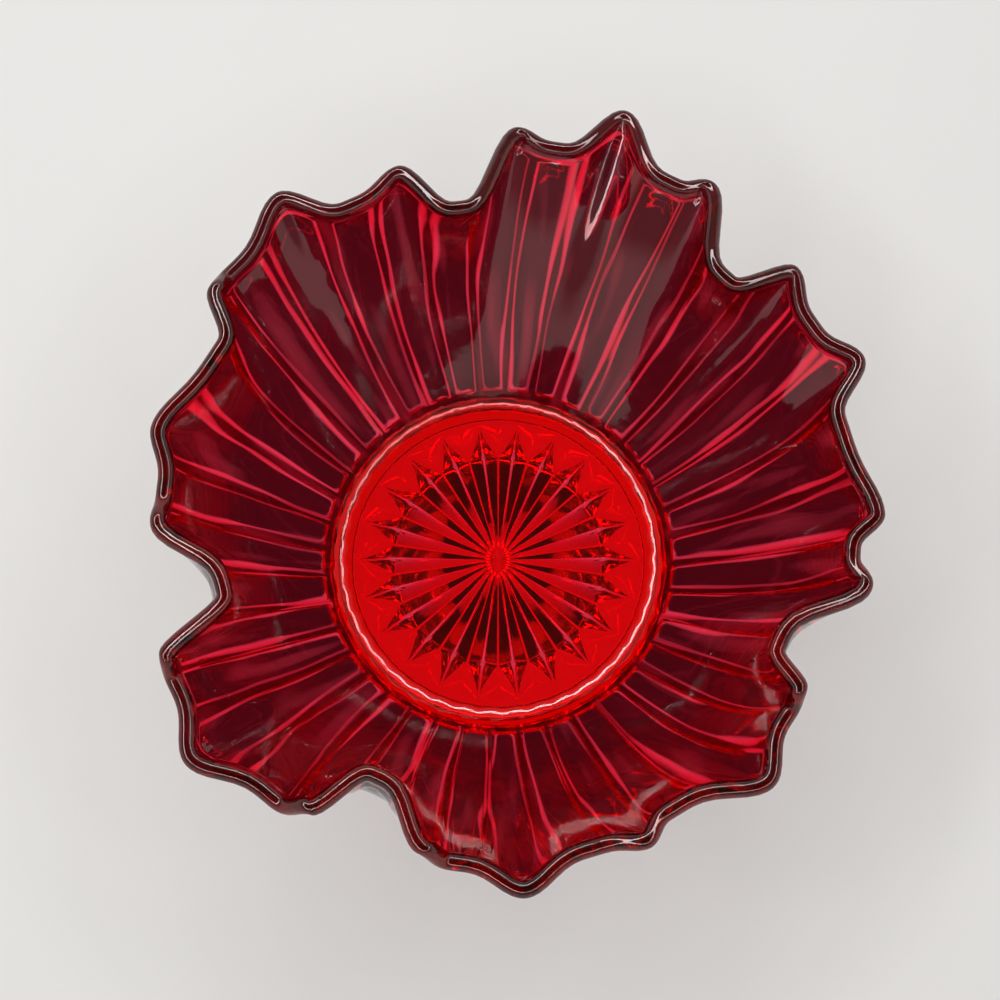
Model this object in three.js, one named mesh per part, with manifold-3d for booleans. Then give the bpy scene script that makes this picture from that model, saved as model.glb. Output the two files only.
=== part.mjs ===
// Handkerchief bowl: one piece of pressed ruby glass. A fluted bowl on a low foot ring came out of the mould,
// and its rim was then crimped by hand into twenty uneven waves. Millimetres, +Z up, the foot stands on z = 0.
import * as THREE from "three";
import { mergeVertices } from "three/addons/utils/BufferGeometryUtils.js";
import Module from "manifold-3d";

const wasm = await Module();
wasm.setup();

// Foot and floor
const FOOT_RADIUS = 60; // outer edge of the ring that the bowl stands on
const FOOT_WIDTH = 5;
const FOOT_HEIGHT = 2.2; // how far the underside is raised off the table
const FLOOR_THICK = 8.5;

// Star cut up into the underside: V-shaped rays, with plain petals left between their outer points
const STAR_RAYS = 22;
const STAR_INSET = 1; // plain ring left between the star and the foot ring
const STAR_DEPTH = 6;
const PETAL_START = 0.73; // inner tip of the petals, as a share of the star's radius
const PETAL_RISE = 0.4; // how far the tool draws back over a petal, and how little it cuts beside a ray,
const PLAIN = 0.02; // both as shares of the star's depth

// Wall and rim, measured on the mean bowl before it is crimped
const RIM_REACH = 115; // bead's outer edge from the foot's axis
const RIM_HEIGHT = 88;
const WALL_THICK = 4;
const WALL_SETBACK = 2.5; // the foot's side stands this much inside the middle of the wall
const FLOOR_CORNER = 4; // slope between the wall's inside and the floor
const BEAD_RADIUS = 2.7;
const BELLY_OUT = 0.7; // how far out and up the wall's curve is drawn, as shares of its whole reach and rise
const BELLY_UP = 0.44;

// Flutes pressed into the outside, two to a wave
const FLUTE_DEPTH = 1.2;
const FLUTE_LAND = 0.08; // plain strip beside each flute's edge and the slope down from it, as shares of half a flute
const FLUTE_EDGE = 0.24;
const FLUTE_START = 0.03; // square lower end, as a share of the way up the wall
const FLUTE_TOP = 0.95; // highest point of the arched upper end
const FLUTE_ARCH = 0.12;
const FLUTE_FADE = 0.08;

// The hand crimping. Each wave is a crest and the hollow after it: azimuth in degrees, anticlockwise from +X,
// and how far the bead's edge stands out or in from the mean reach, in mm.
const WAVES = [
  { crest: [0, 5], hollow: [15, 0] },
  { crest: [24, 14], hollow: [32, 8] },
  { crest: [40, 13], hollow: [46, -6] },
  { crest: [58, 20], hollow: [63, 17] },
  { crest: [73, 36], hollow: [81, 17] },
  { crest: [87, 19], hollow: [97, -12] },
  { crest: [106, 6], hollow: [115, 2] },
  { crest: [124, 17], hollow: [137, 7] },
  { crest: [141, 4], hollow: [149, -10] },
  { crest: [166, -4], hollow: [176, -9] },
  { crest: [182, -9], hollow: [197, -27] },
  { crest: [204, -4], hollow: [208, -2] },
  { crest: [219, 5], hollow: [232, -4] },
  { crest: [238, -9], hollow: [246, -26] },
  { crest: [258, -11], hollow: [263, -8] },
  { crest: [274, -1], hollow: [286, -9] },
  { crest: [294, -6], hollow: [300, -10] },
  { crest: [315, 1], hollow: [325, -6] },
  { crest: [329, -8], hollow: [334, -19] },
  { crest: [349, 2], hollow: [354, -2] },
];
const FIRST_CREST = 2; // azimuth of the first crest's flute at the foot
const LEAN_OUT = 10; // the whole rim sags this much further out on one side, spread down the wall
const LEAN_TOWARDS = 66; // azimuth of that side
const DROOP = 0.45; // mm that the rim drops for each mm that it stands further out
const TILT = 4; // the back of the rim stands this much higher, and the front lower
const SCALLOP = 2.5; // half the height between a crest and a hollow
const HOLLOW_WIDTH = 1.6; // above 1, the hollows are broad and the crests narrow knobs
const LEAN_RISE = 1.5; // how late the lean, the twist and the waves set in on the way up the wall
const TWIST_RISE = 2;
const WAVE_RISE = 3.5;

// Mesh fineness
const COLUMNS_PER_WAVE = 8;
const CROWDING = 1; // degrees that the columns between are moved towards the edges of the flutes
const WALL_RINGS = 9;
const INSIDE_RINGS = 6;
const BEAD_RINGS = 7;
const OUTSIDE_END = 0.97; // last rings of the two faces before the bead, as shares of the way up the wall
const INSIDE_END = 0.96;
const OUTSIDE_CROWDING = 1.3; // above 1, rings stand closer together towards the rim
const INSIDE_CROWDING = 0.8; // below 1, the same for rings that are counted down from the rim
const SIDE_STEP = 2.25; // degrees and share of the way up over which the wall's slope is taken
const UP_STEP = 0.01;
const TINY = 1e-4; // points closer than this are one

const RUBY = { color: "#7d0d1f", roughness: 0.05, metalness: 0 };

const { degToRad, euclideanModulo, lerp, radToDeg, smoothstep } = THREE.MathUtils;
const waveAngle = 360 / WAVES.length;
const starRadius = FOOT_RADIUS - FOOT_WIDTH - STAR_INSET;
const floorTop = FOOT_HEIGHT + FLOOR_THICK;

// Centre-line of the mean wall, from beside the floor up to the middle of the bead.
const wallStart = new THREE.Vector2(FOOT_RADIUS + WALL_SETBACK, floorTop + WALL_THICK / 2);
const beadCentre = new THREE.Vector2(RIM_REACH - BEAD_RADIUS, RIM_HEIGHT - BEAD_RADIUS);
const wallBelly = new THREE.Vector2(
  lerp(wallStart.x, beadCentre.x, BELLY_OUT),
  lerp(wallStart.y, beadCentre.y, BELLY_UP),
);
const centreLine = new THREE.QuadraticBezierCurve(wallStart, wallBelly, beadCentre);

// Rings of the outer wall, closer together towards the crimped rim. The second one starts the flutes.
function outerWall() {
  const rings = [{ t: 0, out: WALL_THICK / 2 }];
  for (let i = 0; i < WALL_RINGS; i++) {
    const share = 1 - (1 - i / (WALL_RINGS - 1)) ** OUTSIDE_CROWDING;
    const t = lerp(FLUTE_START, OUTSIDE_END, share);
    rings.push({ t, out: WALL_THICK / 2 });
  }
  return rings;
}

// The bead round the rim starts and ends where its circle meets the two faces of the wall.
function bead() {
  const tuck = Math.acos(WALL_THICK / 2 / BEAD_RADIUS);
  return Array.from({ length: BEAD_RINGS }, (_, i) => {
    const turn = lerp(-tuck, Math.PI + tuck, i / (BEAD_RINGS - 1));
    return { t: 1, out: BEAD_RADIUS * Math.cos(turn), along: BEAD_RADIUS * Math.sin(turn) };
  });
}

function innerWall() {
  return Array.from({ length: INSIDE_RINGS }, (_, i) => {
    const t = INSIDE_END * (1 - i / (INSIDE_RINGS - 1)) ** INSIDE_CROWDING;
    return { t, out: -WALL_THICK / 2 };
  });
}

// The bowl's section, from the axis under the foot, round the rim and back to the axis on the floor.
// A ring of the foot or floor has a radius and a height; one of the wall has its place beside the centre-line.
function section() {
  const corner = FOOT_HEIGHT / 3;
  const footInner = FOOT_RADIUS - FOOT_WIDTH;
  return [
    { radius: 0, height: FOOT_HEIGHT },
    { radius: footInner - corner, height: FOOT_HEIGHT },
    { radius: footInner + corner, height: 0 },
    { radius: FOOT_RADIUS - corner, height: 0 },
    { radius: FOOT_RADIUS, height: corner },
    ...outerWall(),
    ...bead(),
    ...innerWall(),
    { radius: wallStart.x - WALL_THICK / 2 - FLOOR_CORNER, height: floorTop },
    { radius: 0, height: floorTop },
  ];
}

// Where a column stands in its wave: the wave's number, and 0 at its crest, 0.5 at its hollow, 1 at the next crest.
function placeInWave(azimuth) {
  const along = euclideanModulo((azimuth - FIRST_CREST) / waveAngle, WAVES.length);
  const number = Math.floor(along + TINY) % WAVES.length;
  const share = Math.abs(along - number);
  return { number, share: share > 1 ? 0 : share };
}

// The rim above a column of the foot: its azimuth, and its reach and height past the mean ones.
function rimAbove(azimuth) {
  const { number, share } = placeInWave(azimuth);
  const falling = share < 0.5;
  const wave = WAVES[number];
  const crest = falling ? wave.crest : WAVES[(number + 1) % WAVES.length].crest;
  const down = falling ? share * 2 : 2 - share * 2;
  const intoHollow = 1 - (1 - down) ** HOLLOW_WIDTH;
  const hollowness = Math.sin((Math.PI / 2) * intoHollow) ** 2;
  const pastZero = !falling && crest[0] < wave.hollow[0] ? 360 : 0;
  const out = lerp(crest[1], wave.hollow[1], hollowness);
  const tilt = TILT * Math.sin(degToRad(azimuth));
  return {
    azimuth: lerp(crest[0] + pastZero, wave.hollow[0], down),
    out,
    up: tilt - DROOP * out + SCALLOP * (1 - 2 * hollowness),
  };
}

// A point of the wall's middle surface as the crimping leaves it.
function middle(azimuth, t) {
  const mean = centreLine.getPoint(t);
  const height = Math.max((mean.y - wallStart.y) / (beadCentre.y - wallStart.y), 0);
  const rim = rimAbove(azimuth);
  const lean = LEAN_OUT * Math.cos(degToRad(rim.azimuth - LEAN_TOWARDS));
  const radius = mean.x + lean * height ** LEAN_RISE + (rim.out - lean) * height ** WAVE_RISE;
  const twist = euclideanModulo(rim.azimuth - azimuth + 180, 360) - 180;
  const turn = degToRad(azimuth + twist * height ** TWIST_RISE);
  const lift = rim.up * height ** WAVE_RISE;
  return new THREE.Vector3(radius * Math.cos(turn), radius * Math.sin(turn), mean.y + lift);
}

// -1 to 1 from one edge of a flute to the other.
function acrossFlute(azimuth) {
  return euclideanModulo(placeInWave(azimuth).share * 2 + 0.5, 1) * 2 - 1;
}

// Depth of the flutes at a point of the outer wall: flat between steep edges, cut square below, arched at the top.
function fluteDepth(azimuth, t) {
  const fromEdge = 1 - Math.abs(acrossFlute(azimuth));
  const top = FLUTE_TOP - FLUTE_ARCH * (1 - fromEdge) ** 2;
  const started = t >= FLUTE_START ? FLUTE_DEPTH : 0;
  const sunk = smoothstep(fromEdge, FLUTE_LAND, FLUTE_LAND + FLUTE_EDGE);
  return started * sunk * (1 - smoothstep(t, top - FLUTE_FADE, top));
}

// A point of the wall or bead, set off square to the middle surface.
function wallPoint(azimuth, { t, out, along = 0 }) {
  const round = middle(azimuth + SIDE_STEP, t).sub(middle(azimuth - SIDE_STEP, t));
  const up = middle(azimuth, t + UP_STEP).sub(middle(azimuth, t - UP_STEP));
  const outward = round.clone().cross(up).normalize();
  const onward = outward.clone().cross(round).normalize();
  const onOuterWall = along === 0 && out > 0;
  const depth = onOuterWall ? fluteDepth(azimuth, t) : 0;
  return middle(azimuth, t).addScaledVector(outward, out - depth).addScaledVector(onward, along);
}

// A closed ring of columns turned about +Z, each of its points then moved by a rule.
function turned(points, columns, firstAzimuth, move) {
  const made = new THREE.LatheGeometry(points, columns, degToRad(firstAzimuth + 90));
  made.rotateX(Math.PI / 2);
  const position = made.getAttribute("position");
  const point = new THREE.Vector3();
  for (let i = 0; i < position.count; i++) {
    point.fromBufferAttribute(position, i);
    const onAxis = Math.hypot(point.x, point.y) < TINY;
    if (!onAxis) point.copy(move(point, i % points.length));
    position.setXYZ(i, point.x, point.y, point.z);
  }
  made.deleteAttribute("normal");
  made.deleteAttribute("uv");
  return mergeVertices(made, TINY);
}

function solid(geometry) {
  return new wasm.Manifold(
    new wasm.Mesh({
      numProp: 3,
      vertProperties: geometry.getAttribute("position").array,
      triVerts: new Uint32Array(geometry.index.array),
    }),
  );
}

// The lathe turns the section's rings as plain circles, and the wall's are then moved to their crimped places.
function bowlBody() {
  const rings = section();
  const points = rings.map(({ t, radius, height }) =>
    t === undefined ? new THREE.Vector2(radius, height) : centreLine.getPoint(t),
  );
  const columns = COLUMNS_PER_WAVE * WAVES.length;
  return turned(points, columns, FIRST_CREST, (point, ring) => {
    if (rings[ring].t === undefined) return point;
    const azimuth = euclideanModulo(radToDeg(Math.atan2(point.y, point.x)), 360);
    const crowded = azimuth - CROWDING * Math.sin(Math.PI * (acrossFlute(azimuth) + 1));
    return wallPoint(crowded, rings[ring]);
  });
}

// The tool that presses the star. A ring has its share of the star's radius, and its height past the underside
// on a ray and between two, as shares of the depth: below the underside it cuts nothing.
function starTool() {
  const deepest = { ray: 1, between: PLAIN };
  const rings = [
    { radius: 0, ray: -PETAL_RISE, between: -PETAL_RISE },
    { radius: 1, ray: -PETAL_RISE, between: -PETAL_RISE },
    { radius: 1, ray: -PLAIN, between: PLAIN - PETAL_RISE },
    { radius: PETAL_START, ...deepest },
    { radius: 0, ray: PLAIN, between: PLAIN },
  ];
  const points = rings.map((ring) =>
    new THREE.Vector2(starRadius * ring.radius, FOOT_HEIGHT + STAR_DEPTH * ring.between),
  );
  return turned(points, STAR_RAYS * 2, 0, (point, number) => {
    const azimuth = radToDeg(Math.atan2(point.y, point.x));
    const onRay = Math.round((azimuth * STAR_RAYS) / 180) % 2 === 0;
    const lift = onRay ? STAR_DEPTH * (rings[number].ray - rings[number].between) : 0;
    return new THREE.Vector3(point.x, point.y, point.z + lift);
  });
}

function bowlGeometry() {
  const cut = solid(bowlBody()).subtract(solid(starTool())).getMesh();
  const made = new THREE.BufferGeometry();
  made.setAttribute("position", new THREE.BufferAttribute(new Float32Array(cut.vertProperties), 3));
  made.setIndex(new THREE.BufferAttribute(new Uint32Array(cut.triVerts), 1));
  made.computeBoundingBox();
  const centre = made.boundingBox.getCenter(new THREE.Vector3());
  made.translate(-centre.x, -centre.y, 0);
  made.computeVertexNormals();
  return made;
}

const bowl = new THREE.Mesh(bowlGeometry(), new THREE.MeshStandardMaterial(RUBY));
bowl.name = "bowl";

const part = new THREE.Group();
part.name = "handkerchief_bowl";
part.add(bowl);

export default part;
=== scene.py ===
import math

import bpy
import numpy as np
from bpy.props import FloatProperty, FloatVectorProperty, IntProperty, PointerProperty
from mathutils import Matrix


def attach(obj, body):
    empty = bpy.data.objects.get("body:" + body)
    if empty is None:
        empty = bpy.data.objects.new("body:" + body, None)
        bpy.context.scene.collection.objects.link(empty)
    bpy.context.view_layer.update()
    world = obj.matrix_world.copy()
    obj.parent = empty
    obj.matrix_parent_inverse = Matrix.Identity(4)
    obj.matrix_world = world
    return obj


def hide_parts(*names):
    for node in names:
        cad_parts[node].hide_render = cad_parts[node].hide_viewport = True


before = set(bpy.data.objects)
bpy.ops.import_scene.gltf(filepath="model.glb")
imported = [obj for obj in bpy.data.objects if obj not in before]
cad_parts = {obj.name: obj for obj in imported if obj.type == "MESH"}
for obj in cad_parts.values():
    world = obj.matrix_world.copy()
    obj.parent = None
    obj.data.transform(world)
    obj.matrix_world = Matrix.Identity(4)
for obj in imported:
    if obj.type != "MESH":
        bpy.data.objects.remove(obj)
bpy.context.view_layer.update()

bl_info = {
    "name": "Handkerchief Bowl",
    "version": (1, 0, 0),
    "blender": (4, 5, 0),
    "location": "3D View > Sidebar > Bowl",
    "description": "A ruby pressed-glass bowl with a fluted wall and a hand-crimped rim",
    "category": "Add Mesh",
}

MM = 0.001

# Twenty waves of the crimped rim, measured in the photograph. Each row has the azimuth in degrees of a crest
# and how far it stands past the mean reach in mm, then the same two for the hollow after it.
WAVES = np.array(
    [
        (0, 5, 15, 0),
        (24, 14, 32, 8),
        (40, 13, 46, -6),
        (58, 20, 63, 17),
        (73, 36, 81, 17),
        (87, 19, 97, -12),
        (106, 6, 115, 2),
        (124, 17, 137, 7),
        (141, 4, 149, -10),
        (166, -4, 176, -9),
        (182, -9, 197, -27),
        (204, -4, 208, -2),
        (219, 5, 232, -4),
        (238, -9, 246, -26),
        (258, -11, 263, -8),
        (274, -1, 286, -9),
        (294, -6, 300, -10),
        (315, 1, 325, -6),
        (329, -8, 334, -19),
        (349, 2, 354, -2),
    ]
)
WAVE_ANGLE = 360 / len(WAVES)
FIRST_CREST = 2  # azimuth of the first crest's flute at the foot

# The sag to one side, the turn of the columns and the waves grow with these powers of the height.
LEAN_RISE = 1.5
TWIST_RISE = 2
WAVE_RISE = 3.5

# Shares of the way up over which a flute's lower end steps in and its arched top fades out.
FLUTE_STEP = 0.016
FLUTE_FADE = 0.03
FLUTE_DISH = 0.25  # how much shallower a flute is beside its steep edges than in its middle

# Shares of the way up at which the wall's outside and inside end against the bead, and the powers that bring
# their rings closer together towards it.
OUTSIDE_TOP = 0.97
INSIDE_TOP = 0.96
OUTSIDE_CROWDING = 1.2
INSIDE_CROWDING = 0.85

# The wall's direction at a point is taken over this many degrees and this share of the way up.
SIDE_STEP = 2.25
UP_STEP = 0.01

COLUMNS = 440  # eleven to a flute and ten to half a ray of the star, so that both have a column on each edge
FIRST_COLUMN = -0.045  # turns the columns so that they meet the flutes' edges

# Degrees that the mesh's columns move over: to the flutes' edges, in full from CROWD_FULL of the way up, and
# from CREST_START on back to the flutes' middles, where the rim's crests and hollows are.
EDGE_CROWD = 1
CREST_CROWD = 1.8
CROWD_FULL = 1 / 12
CREST_START = 0.84

BEAD_PAINTED_SHADE = 0.92  # how much of the wall's painted shade the bead gets, where the wall is 1
NO_FLUTE = -10 * MM  # stands for a place far from any flute
GLASS_DENSITY = 1000  # per metre, which is more than the glass takes up of any light

# Patterns: the length of the glass's fire-polish waves and of the mould's texture, the width of the lighter
# streaks in the painted wall shade and of the patches on the painted bright lines, and how many times as
# long as wide these two are.
POLISH_WAVE = 15 * MM
MOULD_GRAIN = 2 * MM
STREAK_WIDTH = 8 * MM
PATCH_WIDTH = 11 * MM
STREAK_STRETCH = 5
STREAK_RADIUS = 90 * MM  # radius at which the streaks are as wide as they say

# Strength of the surround at some heights, 0 at the horizon and 1 overhead: a pale band stands all round.
SKY = ((0.36, 1.0), (0.44, 0.3), (0.58, 0.3), (0.66, 0.42), (0.84, 0.42), (0.9, 0.06))
SKY_TINT = "#F4F3F1"
LIGHT_LEVEL = 0.25  # of what the surround gives off
SEEN_LEVEL = 0.83  # of what the camera, reflections and the glass see of it

SOFTBOXES = 12
SOFTBOX_REACH = 1.1  # metres from the bowl
SOFTBOX_ANGLE = 50  # degrees above the floor
SOFTBOX_SIZE = (0.36, 0.12)  # metres
SOFTBOX_AIM = (0, 0, 0.02)
BRIGHT_SIDE = 125  # azimuth of the brightest softboxes, in degrees
BRIGHT_SHARE = 0.5  # how much brighter they are than the mean one

FLOOR_SIZE = 6  # metres
FLOOR_DROP = 0.0002  # keeps the floor just clear of the foot
FLOOR_NEAR = 0.3  # from here to FLOOR_FAR, in metres, the floor's own light takes over from the lamps'
FLOOR_FAR = 1.3
MOTTLE_SIZE = 60 * MM
MOTTLE_SHADE = 0.97  # the floor's paint is this much darker in places

CAMERA_ANGLE = 77  # degrees above the table
CAMERA_PLACE = (0.7 * MM, -79.3 * MM, 448.5 * MM)  # from the foot's axis
CAMERA_LENS = 43.25
CAMERA_SENSOR = 36

LIGHT_BOUNCES = 24
GLASS_BOUNCES = 20


def linear(text):
    """An sRGB hex colour as linear red, green and blue."""
    parts = [int(text[i : i + 2], 16) / 255 for i in (1, 3, 5)]
    return tuple(c / 12.92 if c <= 0.04045 else ((c + 0.055) / 1.055) ** 2.4 for c in parts)


class BowlSizes(bpy.types.PropertyGroup):
    """The sizes of the part's solid. The rim's reach and height are 0.2 mm less, because the fine mesh has
    the whole tips of the crests, which the solid's facets cut off."""

    foot_radius: FloatProperty(
        name="Foot radius", description="Outer edge of the ring it stands on", default=0.060, unit="LENGTH"
    )
    foot_width: FloatProperty(
        name="Foot width", description="Width of the ring it stands on", default=0.005, unit="LENGTH"
    )
    foot_height: FloatProperty(
        name="Foot height",
        description="How far the underside is off the table",
        default=0.0022,
        unit="LENGTH",
    )
    floor_thick: FloatProperty(
        name="Floor thickness", description="Glass under the bowl's inside", default=0.0085, unit="LENGTH"
    )
    star_rays: IntProperty(
        name="Star rays", description="Rays cut up into the underside", default=22, min=5
    )
    star_inset: FloatProperty(
        name="Star inset", description="Plain ring between star and foot", default=0.001, unit="LENGTH"
    )
    star_depth: FloatProperty(
        name="Star depth", description="Depth of a ray where the petals start", default=0.006, unit="LENGTH"
    )
    star_rise: FloatProperty(
        name="Star rise", description="Above 1, the rays are flatter towards the middle", default=1.15
    )
    petal_start: FloatProperty(
        name="Petal start",
        description="Inner tip of the plain petals, as a share of the star's radius",
        default=0.73,
        subtype="FACTOR",
    )
    petal_point: FloatProperty(
        name="Petal point",
        description="Above 1, the rays run out between the petals in long points",
        default=1.9,
    )
    rim_reach: FloatProperty(
        name="Rim reach",
        description="Mean distance of the bead's edge from the axis",
        default=0.1148,
        unit="LENGTH",
    )
    rim_height: FloatProperty(
        name="Rim height", description="Mean height of the bead's top", default=0.0878, unit="LENGTH"
    )
    wall_thick: FloatProperty(
        name="Wall thickness", description="Glass of the wall", default=0.004, unit="LENGTH"
    )
    wall_setback: FloatProperty(
        name="Wall setback",
        description="How far the wall starts outside the foot",
        default=0.0025,
        unit="LENGTH",
    )
    floor_round: FloatProperty(
        name="Floor round",
        description="Radius between the inside of the wall and the floor",
        default=0.013,
        unit="LENGTH",
    )
    ripple: FloatProperty(
        name="Ripple",
        description="How far the flutes wave the edge of the floor",
        default=0.0003,
        unit="LENGTH",
    )
    bead_radius: FloatProperty(
        name="Bead radius", description="Round of the rim", default=0.0027, unit="LENGTH"
    )
    belly_out: FloatProperty(
        name="Belly out", description="How far out the wall's curve is drawn", default=0.7, subtype="FACTOR"
    )
    belly_up: FloatProperty(
        name="Belly up", description="How far up the wall's curve is drawn", default=0.44, subtype="FACTOR"
    )
    flute_depth: FloatProperty(
        name="Flute depth", description="Hollow of each flute", default=0.0012, unit="LENGTH"
    )
    flute_land: FloatProperty(
        name="Flute land",
        description="Share of half a flute left plain at its edge",
        default=0.08,
        subtype="FACTOR",
    )
    flute_edge: FloatProperty(
        name="Flute edge",
        description="Share of half a flute that slopes down",
        default=0.24,
        subtype="FACTOR",
    )
    flute_start: FloatProperty(
        name="Flute start",
        description="Square lower end, as a share of the way up",
        default=0.012,
        subtype="FACTOR",
    )
    flute_top: FloatProperty(
        name="Flute top",
        description="Top of the arched end, as a share of the way up",
        default=0.95,
        subtype="FACTOR",
    )
    flute_arch: FloatProperty(
        name="Flute arch",
        description="Rise of the arch, as a share of the way up",
        default=0.12,
        subtype="FACTOR",
    )
    lean_out: FloatProperty(
        name="Lean", description="How far the rim sags to one side", default=0.010, unit="LENGTH"
    )
    lean_towards: FloatProperty(
        name="Lean towards", description="Side that it sags to", default=math.radians(66), subtype="ANGLE"
    )
    droop: FloatProperty(
        name="Droop",
        description="Drop of the rim for what it stands further out",
        default=0.45,
        subtype="FACTOR",
    )
    tilt: FloatProperty(
        name="Tilt", description="Rise of the back of the rim", default=0.004, unit="LENGTH"
    )
    scallop: FloatProperty(
        name="Scallop",
        description="Half the height between crest and hollow",
        default=0.0025,
        unit="LENGTH",
    )
    hollow_width: FloatProperty(
        name="Hollow width", description="Above 1, the hollows are broad and the crests narrow", default=1.6
    )


class RubyGlass(bpy.types.PropertyGroup):
    """The looks of the glass. Its absorption isn't a colour, but how fast each light fades in it."""

    surface: FloatVectorProperty(
        name="Foot surface",
        description="Tint of light that passes the foot and floor",
        default=linear("#FFF0F1"),
        subtype="COLOR",
    )
    # Painted shade: this dark tint of the wall stands in for shade, not for a deeper colour of the glass.
    painted_shade: FloatVectorProperty(
        name="Struck wall",
        description="Tint of the wall, whose colour reheating deepened",
        default=linear("#160A0F"),
        subtype="COLOR",
    )
    absorption: FloatVectorProperty(
        name="Absorption",
        description="How much red, green and blue light the glass takes up, per metre",
        default=(4, 900, 650),
    )
    ior: FloatProperty(
        name="IOR", description="Index of refraction of pressed soda-lime glass", default=1.52
    )


class StudioLook(bpy.types.PropertyGroup):
    """The studio floor and the strength of its light."""

    floor: FloatVectorProperty(
        name="Floor", description="Colour of the studio floor", default=linear("#E2E0DE"), subtype="COLOR"
    )
    glass_light: FloatProperty(
        name="Light in the glass",
        description="How pale the glass shows the floor, whatever the lamps give it",
        default=0.75,
    )
    own_light: FloatProperty(
        name="Own light",
        description="Share of the floor's paleness beside the bowl that isn't the lamps' doing",
        default=0.4,
    )
    light: FloatProperty(
        name="Light", description="Watts of the softboxes together", default=15.5, unit="POWER"
    )


def place_in_wave(azimuth):
    """The wave of a column of the foot, and 0 at its crest, 0.5 at its hollow, 1 at the next crest."""
    along = np.mod((azimuth - FIRST_CREST) / WAVE_ANGLE, len(WAVES))
    number = np.floor(along).astype(int) % len(WAVES)
    return number, along - np.floor(along)


def rim_above(sizes, azimuth):
    """Azimuth of the rim above a column of the foot, and its reach and height past the mean ones."""
    number, share = place_in_wave(azimuth)
    falling = share < 0.5
    nearest = np.where(falling, number, (number + 1) % len(WAVES))
    down = np.where(falling, 2 * share, 2 - 2 * share)
    into_hollow = 1 - (1 - down) ** sizes.hollow_width
    hollowness = np.sin(math.pi / 2 * into_hollow) ** 2
    crest_azimuth = WAVES[nearest, 0] + np.where(~falling & (nearest == 0), 360, 0)
    turned = crest_azimuth + (WAVES[number, 2] - crest_azimuth) * down
    out = (WAVES[nearest, 1] + (WAVES[number, 3] - WAVES[nearest, 1]) * hollowness) * MM
    up = sizes.tilt * np.sin(np.radians(azimuth)) - sizes.droop * out + sizes.scallop * (1 - 2 * hollowness)
    return turned, out, up


def wall_curve(sizes):
    """Start, belly and end of the mean wall's centre-line, as radius and height."""
    floor_top = sizes.foot_height + sizes.floor_thick
    start = np.array([sizes.foot_radius + sizes.wall_setback, floor_top + sizes.wall_thick / 2])
    end = np.array([sizes.rim_reach - sizes.bead_radius, sizes.rim_height - sizes.bead_radius])
    belly = start + (end - start) * np.array([sizes.belly_out, sizes.belly_up])
    return start, belly, end


def centre_line(sizes, t):
    """Radius and height of the mean wall's centre-line at a share of the way up."""
    start, belly, end = wall_curve(sizes)
    t = np.asarray(t, float)[..., None]
    return start * (1 - t) ** 2 + belly * 2 * t * (1 - t) + end * t**2


def middle(sizes, azimuth, t):
    """Points of the wall's middle surface as the crimping leaves it."""
    start, _, end = wall_curve(sizes)
    radius, level = np.moveaxis(centre_line(sizes, t), -1, 0)
    height = np.maximum((level - start[1]) / (end[1] - start[1]), 0)
    rim_azimuth, out, up = rim_above(sizes, azimuth)
    lean = sizes.lean_out * np.cos(np.radians(rim_azimuth) - sizes.lean_towards)
    radius = radius + lean * height**LEAN_RISE + (out - lean) * height**WAVE_RISE
    twist = np.mod(rim_azimuth - azimuth + 180, 360) - 180
    turn = np.radians(azimuth + twist * height**TWIST_RISE)
    return np.stack([radius * np.cos(turn), radius * np.sin(turn), level + up * height**WAVE_RISE], -1)


def smooth(value, low, high):
    """0 below low, 1 above high and a smooth step between."""
    share = np.clip((value - low) / (high - low), 0, 1)
    return share * share * (3 - 2 * share)


def across_flute(azimuth):
    """-1 to 1 from one edge of a flute to the other: each wave has two flutes."""
    _, share = place_in_wave(azimuth)
    return np.mod(2 * share + 0.5, 1) * 2 - 1


def flute_relief(sizes, azimuth, t):
    """How deep the flutes are: nearly flat between steep edges, cut square below and arched above."""
    from_edge = 1 - np.abs(across_flute(azimuth))
    sunk = smooth(from_edge, sizes.flute_land, sizes.flute_land + sizes.flute_edge)
    dished = 1 - FLUTE_DISH * (1 - from_edge)
    top = sizes.flute_top - sizes.flute_arch * (1 - from_edge) ** 2
    started = smooth(t, sizes.flute_start, sizes.flute_start + FLUTE_STEP)
    return sizes.flute_depth * sunk * dished * started * (1 - smooth(t, top - FLUTE_FADE, top))


def wall_points(sizes, azimuth, t, out, along):
    """Points of the wall or bead, set off square to the middle surface."""
    around = middle(sizes, azimuth + SIDE_STEP, t) - middle(sizes, azimuth - SIDE_STEP, t)
    up = middle(sizes, azimuth, t + UP_STEP) - middle(sizes, azimuth, t - UP_STEP)
    outward = np.cross(around, up)
    outward /= np.linalg.norm(outward, axis=-1, keepdims=True)
    onward = np.cross(outward, around)
    onward /= np.linalg.norm(onward, axis=-1, keepdims=True)
    return middle(sizes, azimuth, t) + outward * out[:, None] + onward * along[:, None]


def plain(radius, height):
    """A ring that stays a circle."""
    return ("plain", radius, height)


def star_rings(sizes):
    """Rings of the underside from near the axis to the star's edge, as shares of that edge. One goes through
    the petals' tips."""
    hub = np.linspace(0.015, 0.2, 6)
    rays = np.linspace(0.24, sizes.petal_start - 0.03, 14)
    petals = np.linspace(sizes.petal_start, 1, 16)
    return [("star", share) for share in np.concatenate([hub, rays, petals])]


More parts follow.
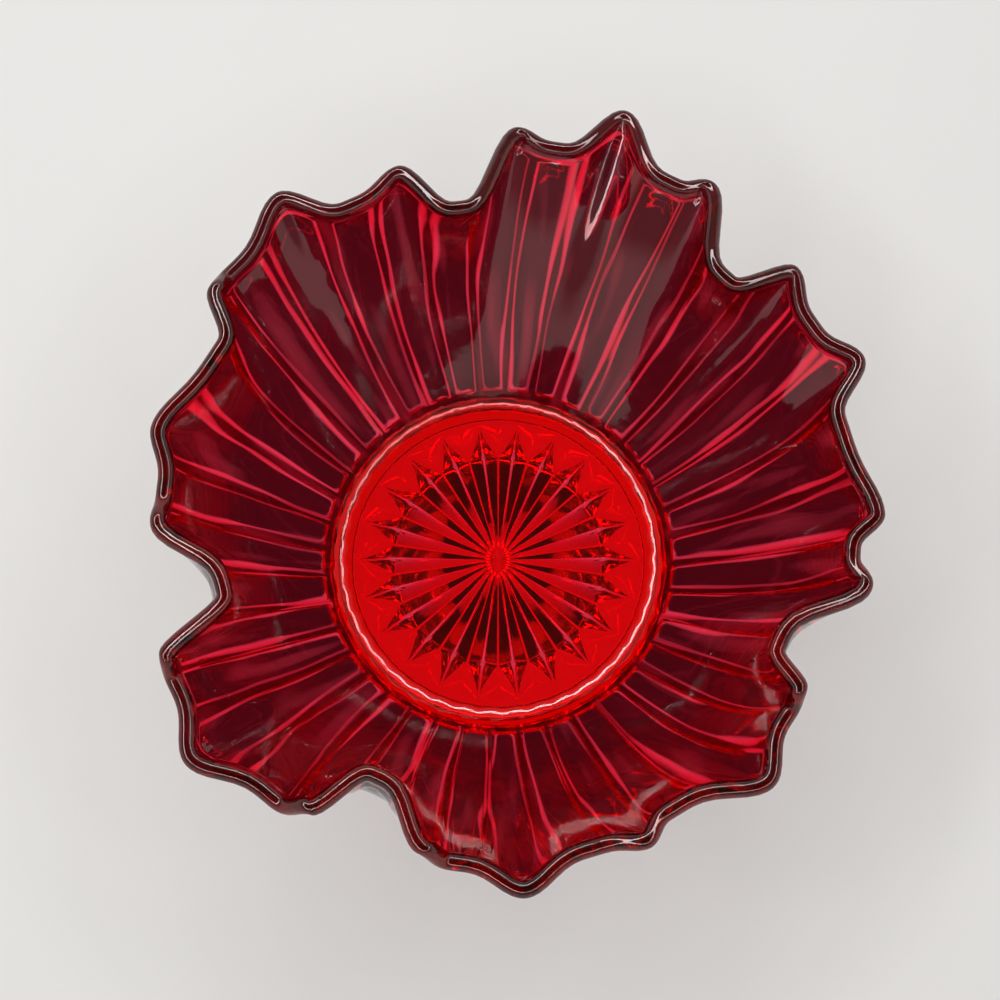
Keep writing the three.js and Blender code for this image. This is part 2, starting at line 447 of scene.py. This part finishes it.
def foot_rings(sizes):
    """The plain band round the star, the ring that the bowl stands on, and up its outer side to the wall."""
    corner = sizes.foot_height / 3
    foot_inner = sizes.foot_radius - sizes.foot_width
    star_edge = foot_inner - sizes.star_inset
    rings = []
    for share in (0.3, 0.8):
        rings.append(plain(star_edge + (foot_inner - corner - star_edge) * share, sizes.foot_height))
    for turn in np.radians(np.linspace(90, 0, 4)):
        radius = foot_inner - corner + corner * np.cos(turn)
        rings.append(plain(radius, sizes.foot_height - corner + corner * np.sin(turn)))
    rings.append(plain(foot_inner + corner * 0.4, corner * 0.25))
    rings.append(plain(foot_inner + corner, 0))
    rings.append(plain(sizes.foot_radius - corner * 1.3, 0))
    for turn in np.radians(np.linspace(-60, 0, 3)):
        radius = sizes.foot_radius - corner + corner * np.cos(turn)
        rings.append(plain(radius, corner + corner * np.sin(turn)))
    # The lowest point of the wall's outside, square to the slope of its centre-line there.
    wall_foot = centre_line(sizes, 0) + sizes.wall_thick / 2 * np.array([0.66, -0.75])
    foot_side = np.array([sizes.foot_radius, corner])
    for share in (0.35, 0.7):
        rings.append(plain(*(foot_side + (wall_foot - foot_side) * share)))
    return rings


def wall_rings(sizes):
    """Up the outside, close together at the flutes' lower ends and under the bead, round it and down the
    inside."""
    step_top = sizes.flute_start + FLUTE_STEP
    step = [0, sizes.flute_start, sizes.flute_start + FLUTE_STEP / 2, step_top]
    upward = 1 - (1 - np.linspace(0.02, 1, 56)) ** OUTSIDE_CROWDING
    rings = [("outside", t) for t in np.concatenate([step, step_top + (OUTSIDE_TOP - step_top) * upward])]
    tuck = math.acos(sizes.wall_thick / 2 / sizes.bead_radius)
    rings += [("bead", turn) for turn in np.linspace(-tuck, math.pi + tuck, 19)]
    downward = (1 - np.linspace(0, 1, 40)) ** INSIDE_CROWDING
    return rings + [("inside", t) for t in INSIDE_TOP * downward]


def floor_rings(sizes):
    """The round between the wall's inside and the floor, then the floor itself."""
    start, belly, _ = wall_curve(sizes)
    floor_top = sizes.foot_height + sizes.floor_thick
    slope = math.atan2(belly[1] - start[1], belly[0] - start[0])
    wall_radius = start[0] - sizes.wall_thick / 2 * math.sin(slope)
    wall_height = start[1] + sizes.wall_thick / 2 * math.cos(slope)
    drop = wall_height - floor_top - sizes.floor_round * (1 - math.cos(slope))
    centre = wall_radius - drop / math.tan(slope) - sizes.floor_round * math.sin(slope)
    rings = []
    for turn in np.linspace(slope, 0, 9):
        radius = centre + sizes.floor_round * math.sin(turn)
        height = floor_top + sizes.floor_round * (1 - math.cos(turn))
        rings.append(("round", radius, height, math.sin(math.pi * turn / slope)))
    for share in (0.9, 0.7, 0.4, 0.15, 0.02):
        rings.append(plain(centre * share, floor_top))
    return rings


def section(sizes):
    """The bowl's rings, from the middle of the underside round the rim to the middle of the floor."""
    return star_rings(sizes) + foot_rings(sizes) + wall_rings(sizes) + floor_rings(sizes)


def mean_ring(sizes, ring):
    """Radius and height of a ring before the flutes, star and crimping."""
    if ring[0] in ("plain", "round"):
        return ring[1], ring[2]
    if ring[0] == "star":
        edge = sizes.foot_radius - sizes.foot_width - sizes.star_inset
        return edge * ring[1], sizes.foot_height
    return tuple(centre_line(sizes, 1 if ring[0] == "bead" else ring[1]))


def star_points(sizes, azimuth, share):
    """Points of the star: V-shaped rays that run out between rounded petals of plain glass."""
    ray = np.mod((azimuth - FIRST_COLUMN) * sizes.star_rays / 360 + 0.5, 1) - 0.5
    between = np.abs(ray) * 2
    edge = 1 - (1 - sizes.petal_start) * between ** (1 / sizes.petal_point)
    radius = (sizes.foot_radius - sizes.foot_width - sizes.star_inset) * edge * share
    # A ray's sides keep their slope on the way out, and it runs out as the petals narrow it.
    along = edge * share
    past_tip = np.clip((along - sizes.petal_start) / (1 - sizes.petal_start), 0, 1)
    width = (1 - past_tip) ** sizes.petal_point
    slope = sizes.star_depth * (along / sizes.petal_start) ** sizes.star_rise
    depth = slope * np.maximum(width - between, 0)
    turn = np.radians(azimuth)
    return np.stack([radius * np.cos(turn), radius * np.sin(turn), sizes.foot_height + depth], -1)


def crowd(azimuth, ring):
    """Brings columns closer together: to the flutes' edges on the wall, to crests and hollows at the rim."""
    t = 1 if ring[0] == "bead" else ring[1]
    amount = EDGE_CROWD * min(1, t / CROWD_FULL) - CREST_CROWD * smooth(t, CREST_START, 1)
    return azimuth - amount * np.sin(np.pi * (across_flute(azimuth) + 1))


def painted_shade_depth(sizes, ring, azimuth):
    """How much painted shade darkens the glass's tint: the wall's deep colour stands in for shade. The wall
    and the foot's outer side are tinted on their outside only, so that light is tinted once on its way
    through. The bead has a little less, and the floor none."""
    if ring[0] == "bead":
        return np.full(len(azimuth), BEAD_PAINTED_SHADE)
    if ring[0] == "outside":
        return np.ones(len(azimuth))
    on_side = ring[0] == "plain" and ring[1] >= sizes.foot_radius - 0.1 * MM
    return np.full(len(azimuth), 1.0 if on_side else 0.0)


def inside_flute(sizes, ring, azimuth):
    """How far a point of the outer wall is inside its flute's sides and lower end, or past the flutes'
    tops."""
    if ring[0] != "outside":
        return np.full(len(azimuth), NO_FLUTE)
    if ring[1] > sizes.flute_top:
        return np.full(len(azimuth), (ring[1] - sizes.flute_top) * sizes.rim_height)
    t = ring[1]
    from_edge = 1 - np.abs(across_flute(crowd(azimuth, ring)))
    half_flute = math.pi * centre_line(sizes, t)[0] / (2 * len(WAVES))
    side = (from_edge - sizes.flute_land) * half_flute
    bottom = (t - sizes.flute_start) * sizes.rim_height
    return np.minimum(side, bottom)


def ring_points(sizes, ring, azimuth):
    """Where a ring's points end up."""
    kind = ring[0]
    count = len(azimuth)
    if kind in ("plain", "round"):
        ripple = sizes.ripple * ring[3] if kind == "round" else 0
        radius = ring[1] + ripple * np.cos(math.pi * across_flute(azimuth))
        turn = np.radians(azimuth)
        return np.stack([radius * np.cos(turn), radius * np.sin(turn), np.full(count, ring[2])], -1)
    if kind == "star":
        return star_points(sizes, azimuth, ring[1])
    crowded = crowd(azimuth, ring)
    half = sizes.wall_thick / 2
    nothing = np.zeros(count)
    if kind == "outside":
        t = np.full(count, ring[1])
        return wall_points(sizes, crowded, t, half - flute_relief(sizes, crowded, t), nothing)
    if kind == "bead":
        t = np.ones(count)
        out = np.full(count, sizes.bead_radius * math.cos(ring[1]))
        return wall_points(sizes, crowded, t, out, np.full(count, sizes.bead_radius * math.sin(ring[1])))
    return wall_points(sizes, crowded, np.full(count, ring[1]), np.full(count, -half), nothing)


def deselect_all():
    if bpy.context.object and bpy.context.object.mode != "OBJECT":
        bpy.ops.object.mode_set(mode="OBJECT")
    bpy.ops.object.select_all(action="DESELECT")


def extrude_rings(name, rings, columns):
    """A circle extruded ring by ring into an open tube that follows the mean section."""
    deselect_all()
    radius, height = rings[0]
    bpy.ops.mesh.primitive_circle_add(vertices=columns, radius=radius, location=(0, 0, height))
    tube = bpy.context.object
    tube.name = name
    bpy.ops.object.transform_apply(location=True)
    bpy.ops.object.mode_set(mode="EDIT")
    bpy.ops.mesh.select_mode(type="EDGE")
    bpy.ops.mesh.select_all(action="SELECT")
    for next_radius, next_height in rings[1:]:
        bpy.ops.mesh.extrude_edges_move(TRANSFORM_OT_translate={"value": (0, 0, next_height - height)})
        grow = next_radius / radius
        bpy.ops.transform.resize(value=(grow, grow, 1), center_override=(0, 0, next_height))
        radius, height = next_radius, next_height
    bpy.ops.object.mode_set(mode="OBJECT")
    return tube


def close_end(tube, first, columns):
    """Draws one open ring of the tube in to a point on the axis."""
    deselect_all()
    bpy.context.view_layer.objects.active = tube
    tube.select_set(True)
    bpy.ops.object.mode_set(mode="EDIT")
    bpy.ops.mesh.select_all(action="DESELECT")
    bpy.ops.mesh.select_mode(type="VERT")
    bpy.ops.object.mode_set(mode="OBJECT")
    for vertex in tube.data.vertices[first : first + columns]:
        vertex.select = True
    bpy.ops.object.mode_set(mode="EDIT")
    bpy.ops.mesh.select_mode(type="EDGE")
    bpy.ops.mesh.extrude_edges_move(TRANSFORM_OT_translate={"value": (0, 0, 0)})
    bpy.ops.mesh.merge(type="CENTER")
    bpy.ops.object.mode_set(mode="OBJECT")


def crimp(tube, sizes, rings, columns):
    """Moves the tube's rings from the mean section to the pressed and crimped shape, and centres that on its
    own box. Returns where the foot's axis then is."""
    points = np.empty(len(tube.data.vertices) * 3)
    tube.data.vertices.foreach_get("co", points)
    points = points.reshape(len(rings), columns, 3)
    turned = np.degrees(np.arctan2(points[..., 1], points[..., 0])) + FIRST_COLUMN
    painted_shade = np.empty((len(rings), columns))
    fluted = np.empty((len(rings), columns))
    for row, (ring, azimuth) in enumerate(zip(rings, turned)):
        points[row] = ring_points(sizes, ring, azimuth)
        painted_shade[row] = painted_shade_depth(sizes, ring, azimuth)
        fluted[row] = inside_flute(sizes, ring, azimuth)
    low = points.min(axis=(0, 1))
    high = points.max(axis=(0, 1))
    middle_of_box = (low + high) / 2
    points[..., :2] -= middle_of_box[:2]
    tube.data.vertices.foreach_set("co", points.reshape(-1))
    # The amount of painted shade and the distance to the painted bright lines go on the mesh as attributes.
    for name, values in (("painted_shade", painted_shade), ("inside_flute", fluted)):
        tube.data.attributes.new(name, "FLOAT", "POINT").data.foreach_set("value", values.reshape(-1))
    tube.data.update()
    return -middle_of_box[:2]


def add_node(tree, kind, settings=None, links=None):
    """Adds a node, sets its properties and sockets by name or number, and links its inputs."""
    node = tree.nodes.new(kind)
    for name, value in (settings or {}).items():
        if isinstance(name, int) or name in node.inputs:
            node.inputs[name].default_value = value
        else:
            setattr(node, name, value)
    for name, output in (links or {}).items():
        tree.links.new(output, node.inputs[name])
    return node


def new_material(name):
    material = bpy.data.materials.new(name)
    material.use_nodes = True
    material.node_tree.nodes.clear()
    return material, material.node_tree


def wall_coordinates(tree, where, foot_axis):
    """Coordinates for what runs up the wall: it is drawn out upwards and keeps its width at every height."""
    from_axis = add_node(
        tree, "ShaderNodeVectorMath", {"operation": "SUBTRACT", 1: (*foot_axis, 0)}, {0: where}
    )
    flat = add_node(
        tree, "ShaderNodeVectorMath", {"operation": "MULTIPLY", 1: (1, 1, 0)}, {0: from_axis.outputs[0]}
    )
    outward = add_node(tree, "ShaderNodeVectorMath", {"operation": "NORMALIZE"}, {0: flat.outputs[0]})
    around = add_node(
        tree, "ShaderNodeVectorMath", {"operation": "SCALE", "Scale": STREAK_RADIUS}, {0: outward.outputs[0]}
    )
    upward = add_node(
        tree, "ShaderNodeVectorMath", {"operation": "MULTIPLY", 1: (0, 0, 1 / STREAK_STRETCH)}, {0: where}
    )
    both = add_node(
        tree, "ShaderNodeVectorMath", {"operation": "ADD"}, {0: around.outputs[0], 1: upward.outputs[0]}
    )
    return both.outputs[0]


def painted_shade_share(tree, streaks):
    """How much painted shade darkens the glass's tint: less on some streaks, which are painted lighter."""
    depth = add_node(tree, "ShaderNodeAttribute", {"attribute_name": "painted_shade"})
    uneven = add_node(
        tree,
        "ShaderNodeMapRange",
        {"From Min": 0.56, "From Max": 0.72, "To Min": 1.0, "To Max": 0.94},
        {"Value": streaks},
    )
    share = add_node(
        tree,
        "ShaderNodeMath",
        {"operation": "MULTIPLY", "use_clamp": True},
        {0: depth.outputs["Fac"], 1: uneven.outputs["Result"]},
    )
    return share.outputs[0]


def painted_bright_lines(tree, streaks, along):
    """1 on painted lines of light along the flutes' steep edges and under the bead, where the painted shade
    is lifted. They wander by up to 2 mm, and some lengths of them are brighter and broader than others."""
    inside = add_node(tree, "ShaderNodeAttribute", {"attribute_name": "inside_flute"})
    wander = add_node(
        tree,
        "ShaderNodeMapRange",
        {"From Min": 0.3, "From Max": 0.7, "To Min": 0.1 * MM, "To Max": 2.2 * MM},
        {"Value": streaks},
    )
    off_line = add_node(
        tree,
        "ShaderNodeMath",
        {"operation": "SUBTRACT"},
        {0: inside.outputs["Fac"], 1: wander.outputs["Result"]},
    )
    away = add_node(tree, "ShaderNodeMath", {"operation": "ABSOLUTE"}, {0: off_line.outputs[0]})
    patches = add_node(
        tree, "ShaderNodeTexNoise", {"Scale": 1 / PATCH_WIDTH, "Detail": 2.0}, {"Vector": along}
    ).outputs["Fac"]
    brightness = add_node(
        tree,
        "ShaderNodeMapRange",
        {"From Min": 0.4, "From Max": 0.6, "To Min": 0.2, "To Max": 1.0},
        {"Value": patches},
    )
    breadth = add_node(
        tree,
        "ShaderNodeMapRange",
        {"From Min": 0.52, "From Max": 0.72, "To Min": 0.6 * MM, "To Max": 2.0 * MM},
        {"Value": patches},
    )
    line = add_node(
        tree,
        "ShaderNodeMapRange",
        {"From Min": 0.2 * MM, "To Max": 0.0, "interpolation_type": "SMOOTHSTEP"},
        {
            "Value": away.outputs[0],
            "From Max": breadth.outputs["Result"],
            "To Min": brightness.outputs["Result"],
        },
    )
    return line.outputs["Result"]


def polished_skin(tree, where):
    """Roughness and normal of the skin: the slow waves of fire-polishing over the mould's fine texture."""
    waves = add_node(
        tree, "ShaderNodeTexNoise", {"Scale": 1 / POLISH_WAVE, "Detail": 2.0}, {"Vector": where}
    ).outputs["Fac"]
    mould = add_node(
        tree, "ShaderNodeTexNoise", {"Scale": 1 / MOULD_GRAIN, "Detail": 3.0}, {"Vector": where}
    ).outputs["Fac"]
    rough = add_node(
        tree,
        "ShaderNodeMapRange",
        {"From Min": 0.3, "From Max": 0.7, "To Min": 0.015, "To Max": 0.06},
        {"Value": waves},
    )
    slow = add_node(tree, "ShaderNodeBump", {"Strength": 0.3, "Distance": 0.25 * MM}, {"Height": waves})
    fine = add_node(
        tree,
        "ShaderNodeBump",
        {"Strength": 0.12, "Distance": 0.02 * MM},
        {"Height": mould, "Normal": slow.outputs["Normal"]},
    )
    return rough.outputs["Result"], fine.outputs["Normal"]


def pressed_ruby_glass(look, foot_axis):
    """Selenium ruby glass, pressed and fire-polished: clear and deep red all through, with a glossy, faintly
    wavy skin. The wall's tint is darker than the foot's and floor's with painted shade, which is lifted on
    painted bright lines along the flutes and on some lighter streaks."""
    material, tree = new_material("pressed_ruby_glass")
    where = add_node(tree, "ShaderNodeTexCoord").outputs["Object"]
    along = wall_coordinates(tree, where, foot_axis)
    streaks = add_node(
        tree, "ShaderNodeTexNoise", {"Scale": 1 / STREAK_WIDTH, "Detail": 1.0}, {"Vector": along}
    ).outputs["Fac"]
    off_lines = add_node(
        tree, "ShaderNodeMath", {"operation": "SUBTRACT", 0: 1.0}, {1: painted_bright_lines(tree, streaks, along)}
    )
    # Painted shade on the wall and bead, lifted on the painted bright lines.
    shade = add_node(
        tree,
        "ShaderNodeMath",
        {"operation": "MULTIPLY"},
        {0: painted_shade_share(tree, streaks), 1: off_lines.outputs[0]},
    )
    tint = add_node(
        tree,
        "ShaderNodeMix",
        {"data_type": "RGBA", 6: (*look.surface, 1), 7: (*look.painted_shade, 1)},
        {0: shade.outputs[0]},
    )
    roughness, normal = polished_skin(tree, where)
    skin = add_node(
        tree,
        "ShaderNodeBsdfPrincipled",
        {"IOR": look.ior, "Transmission Weight": 1.0},
        {"Base Color": tint.outputs[2], "Roughness": roughness, "Normal": normal},
    )
    passed = [1 - part / GLASS_DENSITY for part in look.absorption]
    body = add_node(tree, "ShaderNodeVolumeAbsorption", {"Color": (*passed, 1), "Density": GLASS_DENSITY})
    add_node(
        tree,
        "ShaderNodeOutputMaterial",
        links={"Surface": skin.outputs["BSDF"], "Volume": body.outputs["Volume"]},
    )
    return material


def any_ray(tree, kinds):
    """1 for rays of any of these kinds, and 0 for the rest."""
    path = add_node(tree, "ShaderNodeLightPath").outputs
    found = path[kinds[0]]
    for kind in kinds[1:]:
        either = add_node(tree, "ShaderNodeMath", {"operation": "MAXIMUM"}, {0: found, 1: path[kind]})
        found = either.outputs[0]
    return found


def floor_glow(tree, where, look):
    """The share of the floor's own light: all of it far from the lamps, less near the bowl, where its shadow
    falls, a steady share in what the glass shows of it, and none in the light that it gives the bowl."""
    distance = add_node(tree, "ShaderNodeVectorMath", {"operation": "LENGTH"}, {0: where})
    own = add_node(
        tree,
        "ShaderNodeMapRange",
        {"From Min": FLOOR_NEAR, "From Max": FLOOR_FAR, "To Min": look.own_light, "To Max": 1.0},
        {"Value": distance.outputs["Value"]},
    )
    for_glass = add_node(
        tree,
        "ShaderNodeMath",
        {"operation": "MULTIPLY", 1: look.glass_light},
        {0: any_ray(tree, ("Is Glossy Ray", "Is Transmission Ray"))},
    )
    glow = add_node(
        tree,
        "ShaderNodeMath",
        {"operation": "MULTIPLY_ADD"},
        {0: own.outputs["Result"], 1: any_ray(tree, ("Is Camera Ray",)), 2: for_glass.outputs[0]},
    )
    return glow.outputs[0]


def studio_floor(look):
    """Matt painted board, sprayed: an even pale grey with the faintest mottle, which stays pale far from the
    lamps."""
    material, tree = new_material("painted_studio_board")
    where = add_node(tree, "ShaderNodeTexCoord").outputs["Object"]
    mottle = add_node(
        tree, "ShaderNodeTexNoise", {"Scale": 1 / MOTTLE_SIZE, "Detail": 4.0}, {"Vector": where}
    )
    darker = [part * MOTTLE_SHADE for part in look.floor]
    tint = add_node(
        tree,
        "ShaderNodeMix",
        {"data_type": "RGBA", 6: (*look.floor, 1), 7: (*darker, 1)},
        {0: mottle.outputs["Fac"]},
    )
    bump = add_node(
        tree, "ShaderNodeBump", {"Strength": 0.05, "Distance": 0.1 * MM}, {"Height": mottle.outputs["Fac"]}
    )
    paint = add_node(
        tree,
        "ShaderNodeBsdfPrincipled",
        {"Roughness": 0.8, "Specular IOR Level": 0.2},
        {"Base Color": tint.outputs[2], "Normal": bump.outputs["Normal"]},
    )
    glow = add_node(tree, "ShaderNodeEmission", {"Color": (*look.floor, 1)})
    both = add_node(
        tree,
        "ShaderNodeMixShader",
        links={0: floor_glow(tree, where, look), 1: paint.outputs["BSDF"], 2: glow.outputs[0]},
    )
    add_node(tree, "ShaderNodeOutputMaterial", links={"Surface": both.outputs[0]})
    return material


class BOWL_OT_glass(bpy.types.Operator):
    """Turns, presses and crimps the glass bowl"""

    bl_idname = "bowl.glass"
    bl_label = "Glass bowl"

    def execute(self, context):
        sizes = context.scene.bowl_sizes
        rings = section(sizes)
        bowl = extrude_rings("ruby_glass_bowl", [mean_ring(sizes, ring) for ring in rings], COLUMNS)
        if len(bowl.data.vertices) != len(rings) * COLUMNS:
            raise RuntimeError("the extruded tube doesn't have one ring for each step of the section")
        shift = crimp(bowl, sizes, rings, COLUMNS)
        context.scene["foot_axis"] = [float(v) for v in shift]
        close_end(bowl, (len(rings) - 1) * COLUMNS, COLUMNS)
        close_end(bowl, 0, COLUMNS)
        bpy.ops.object.mode_set(mode="EDIT")
        bpy.ops.mesh.select_all(action="SELECT")
        bpy.ops.mesh.normals_make_consistent(inside=False)
        bpy.ops.object.mode_set(mode="OBJECT")
        bpy.ops.object.shade_smooth()
        bowl.data.materials.append(pressed_ruby_glass(context.scene.ruby_glass, shift))
        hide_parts("bowl")
        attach(bowl, "root")
        return {"FINISHED"}


class BOWL_OT_stage(bpy.types.Operator):
    """Lays the studio floor and sets the lamps, the world and the camera"""

    bl_idname = "bowl.stage"
    bl_label = "Studio"

    def execute(self, context):
        look = context.scene.studio_look
        lay_floor(look)
        hang_lamps(look)
        light_world(context.scene)
        place_camera(context.scene)
        set_rendering(context.scene)
        return {"FINISHED"}


def lay_floor(look):
    """A wide sheet of painted board under the bowl."""
    deselect_all()
    bpy.ops.mesh.primitive_plane_add(size=FLOOR_SIZE, location=(0, 0, -FLOOR_DROP))
    floor = bpy.context.object
    floor.name = "studio_floor"
    bpy.ops.object.transform_apply(location=True)
    floor.data.materials.append(studio_floor(look))


def area_lamp(name, place, aim, size, watts):
    """A soft rectangular lamp at a place, turned to face a point that isn't straight below it."""
    deselect_all()
    bpy.ops.object.light_add(type="AREA", location=place)
    lamp = bpy.context.object
    lamp.name = name
    lamp.data.shape = "RECTANGLE"
    lamp.data.size, lamp.data.size_y = size
    lamp.data.energy = watts
    ahead, beside, up = np.array(aim, float) - np.array(place, float)
    lamp.rotation_euler = (math.atan2(math.hypot(ahead, beside), -up), 0, math.atan2(-ahead, beside))


def hang_lamps(look):
    """A ring of softboxes stands round the bowl, so high up that its steep walls mirror none of them. Those
    on one side are brighter than the rest."""
    up = math.radians(SOFTBOX_ANGLE)
    for number in range(SOFTBOXES):
        turn = 2 * math.pi * number / SOFTBOXES
        way = (math.cos(up) * math.cos(turn), math.cos(up) * math.sin(turn), math.sin(up))
        place = tuple(SOFTBOX_REACH * part for part in way)
        watts = look.light / SOFTBOXES * (1 + BRIGHT_SHARE * math.cos(turn - math.radians(BRIGHT_SIDE)))
        area_lamp(f"softbox_{number + 1}", place, SOFTBOX_AIM, SOFTBOX_SIZE, watts)


def light_world(scene):
    """A surround for the glass to mirror, pale towards the horizon and dim overhead. It lights the bowl
    gently: what the camera and the glass see of it is paler than what it gives off."""
    world = bpy.data.worlds.new("pale_studio")
    world.use_nodes = True
    tree = world.node_tree
    tree.nodes.clear()
    way = add_node(tree, "ShaderNodeTexCoord").outputs["Generated"]
    up = add_node(tree, "ShaderNodeSeparateXYZ", links={"Vector": way}).outputs["Z"]
    sky = add_node(tree, "ShaderNodeValToRGB", links={"Fac": up})
    stops = sky.color_ramp.elements
    for place, strength in SKY:
        stops.new(place).color = (strength, strength, strength, 1)
    # The two stops that the ramp comes with, at 0 and 1, aren't wanted.
    stops.remove(stops[0])
    stops.remove(stops[-1])
    seen = any_ray(tree, ("Is Camera Ray", "Is Glossy Ray", "Is Transmission Ray"))
    level = add_node(
        tree, "ShaderNodeMapRange", {"To Min": LIGHT_LEVEL, "To Max": SEEN_LEVEL}, {"Value": seen}
    )
    strength = add_node(
        tree,
        "ShaderNodeMath",
        {"operation": "MULTIPLY"},
        {0: sky.outputs["Color"], 1: level.outputs["Result"]},
    )
    shader = add_node(
        tree,
        "ShaderNodeBackground",
        {"Color": (*linear(SKY_TINT), 1)},
        {"Strength": strength.outputs["Value"]},
    )
    add_node(tree, "ShaderNodeOutputWorld", links={"Surface": shader.outputs["Background"]})
    scene.world = world


def place_camera(scene):
    """The camera stands over the near side of the bowl and looks steeply down at it."""
    axis = scene["foot_axis"]
    side, back, up = CAMERA_PLACE
    deselect_all()
    bpy.ops.object.camera_add(location=(side + axis[0], back + axis[1], up))
    camera = bpy.context.object
    camera.name = "photo_camera"
    camera.rotation_euler = (math.radians(90 - CAMERA_ANGLE), 0, 0)
    camera.data.lens = CAMERA_LENS
    camera.data.sensor_width = CAMERA_SENSOR
    camera.data.clip_start = 0.01
    scene.camera = camera


def set_rendering(scene):
    """Plain colours, and enough bounces for the light that goes round inside the bead."""
    scene.view_settings.view_transform = "Standard"
    scene.cycles.max_bounces = LIGHT_BOUNCES
    scene.cycles.glossy_bounces = GLASS_BOUNCES
    scene.cycles.transmission_bounces = GLASS_BOUNCES


class BOWL_PT_panel(bpy.types.Panel):
    """Sizes and steps of the handkerchief bowl"""

    bl_label = "Handkerchief Bowl"
    bl_idname = "BOWL_PT_panel"
    bl_space_type = "VIEW_3D"
    bl_region_type = "UI"
    bl_category = "Bowl"

    def draw(self, context):
        for group in (context.scene.bowl_sizes, context.scene.ruby_glass, context.scene.studio_look):
            box = self.layout.box()
            for name in group.__annotations__:
                box.prop(group, name)
        for operator in (BOWL_OT_glass, BOWL_OT_stage):
            self.layout.operator(operator.bl_idname)


CLASSES = (BowlSizes, RubyGlass, StudioLook, BOWL_OT_glass, BOWL_OT_stage, BOWL_PT_panel)


def register():
    for each in CLASSES:
        bpy.utils.register_class(each)
    bpy.types.Scene.bowl_sizes = PointerProperty(type=BowlSizes)
    bpy.types.Scene.ruby_glass = PointerProperty(type=RubyGlass)
    bpy.types.Scene.studio_look = PointerProperty(type=StudioLook)


def unregister():
    del bpy.types.Scene.studio_look
    del bpy.types.Scene.ruby_glass
    del bpy.types.Scene.bowl_sizes
    for each in reversed(CLASSES):
        bpy.utils.unregister_class(each)


def main():
    register()
    bpy.ops.bowl.glass()
    bpy.ops.bowl.stage()


if __name__ == "__main__":
    main()
